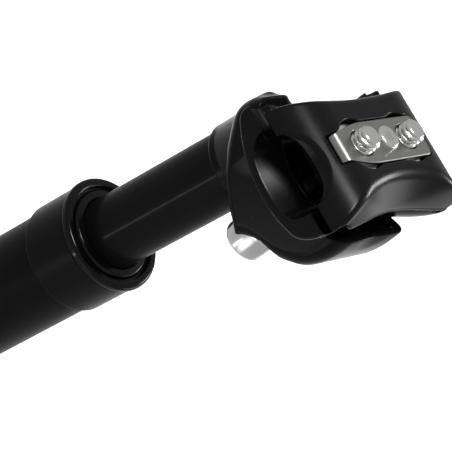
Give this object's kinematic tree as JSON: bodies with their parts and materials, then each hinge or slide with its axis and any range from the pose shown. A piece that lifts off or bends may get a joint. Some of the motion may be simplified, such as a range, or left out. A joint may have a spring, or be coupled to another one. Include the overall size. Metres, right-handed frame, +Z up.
{
  "type": "suspension seatpost",
  "caption": "Telescopic suspension seatpost: a sprung stem slides in a tube with a threaded collar and wiper seal, and carries a two-bolt tilting clamp for saddle rails.",
  "frame": {"origin": "centre of the outer tube's bottom end", "axes": "+Z up the post, +X towards the front of the bicycle, +Y towards its left"},
  "size_m": [0.0467, 0.052, 0.3625],
  "materials": {
    "anodised_black": "satin black",
    "stem_black": "satin black, hard anodised",
    "collar_black": "satin black, turned",
    "forged_black": "gloss black over a forged surface",
    "clamp_black": "gloss black, with bright edges",
    "seal_rubber": "smooth and glossy",
    "bumper_rubber": "matt",
    "elastomer": "satin",
    "bushing_plastic": "glass-filled, satin",
    "seat_plastic": "satin",
    "plug_aluminium": "turned, clear anodised",
    "spring_steel": "oiled",
    "key_brass": "drawn",
    "plate_steel": "bright, finely brushed",
    "bolt_zinc": "bright zinc"
  },
  "bodies": {
    "post": {"outer_tube": "anodised_black", "collar": "collar_black", "wiper_seal": "seal_rubber", "upper_bushing": "bushing_plastic", "top_out_bumper": "bumper_rubber", "main_spring": "spring_steel"},
    "preload_seat": {"lower_spring_seat": "seat_plastic", "damper_rod": "elastomer"},
    "plug": {"preload_plug": "plug_aluminium"},
    "stem": {"inner_tube": "stem_black", "lower_bushing": "bushing_plastic", "guide_keys": "key_brass", "retaining_ring": "spring_steel", "upper_spring_seat": "plug_aluminium", "head": "forged_black"},
    "clamp": {"lower_clamp": "clamp_black", "curved_washer_left": "bolt_zinc", "curved_washer_right": "bolt_zinc"},
    "bolt_left": {"clamp_bolt_left": "bolt_zinc"},
    "bolt_right": {"clamp_bolt_right": "bolt_zinc"},
    "clamp_top": {"upper_clamp": "clamp_black", "nut_plate": "plate_steel", "plate_screw": "bolt_zinc", "clinch_nut_left": "bolt_zinc", "clinch_nut_right": "bolt_zinc"}
  },
  "joints": [
    {"name": "suspension_travel", "type": "slide", "parent": "post", "child": "stem", "axis": [0, 0, -1], "range_m": [0, 0.04], "stiffness_N_per_m": 15000, "springref_m": -0.01, "deforming": ["main_spring"]},
    {"name": "clamp_tilt", "type": "hinge", "parent": "stem", "child": "clamp", "pos_m": [-0.00963, 0, 0.3697], "axis": [0, 1, 0], "range_deg": [-4, 14]},
    {"name": "clamp_opening", "type": "slide", "parent": "clamp", "child": "clamp_top", "axis": [0.1736, 0, 0.9848], "range_m": [0, 0.003]},
    {"name": "left_bolt_turn", "type": "hinge", "parent": "clamp", "child": "bolt_left", "pos_m": [-0.0131, 0.00875, 0.35], "axis": [0.1736, 0, 0.9848], "range_deg": [0, 1080]},
    {"name": "right_bolt_turn", "type": "hinge", "parent": "clamp", "child": "bolt_right", "pos_m": [-0.0131, -0.00875, 0.35], "axis": [0.1736, 0, 0.9848], "range_deg": [0, 1080]},
    {"name": "preload_travel", "type": "slide", "parent": "post", "child": "preload_seat", "axis": [0, 0, 1], "range_m": [0, 0.005]},
    {"name": "preload_turn", "type": "hinge", "parent": "preload_seat", "child": "plug", "pos_m": [0, 0, 0], "axis": [0, 0, 1], "range_deg": [0, 1800]}
  ],
  "couplings": [
    {"joint": "left_bolt_turn", "follows": "clamp_opening", "rad_per_m": 6283.2},
    {"joint": "right_bolt_turn", "follows": "clamp_opening", "rad_per_m": 6283.2},
    {"joint": "preload_turn", "follows": "preload_travel", "rad_per_m": 6283.2}
  ]
}
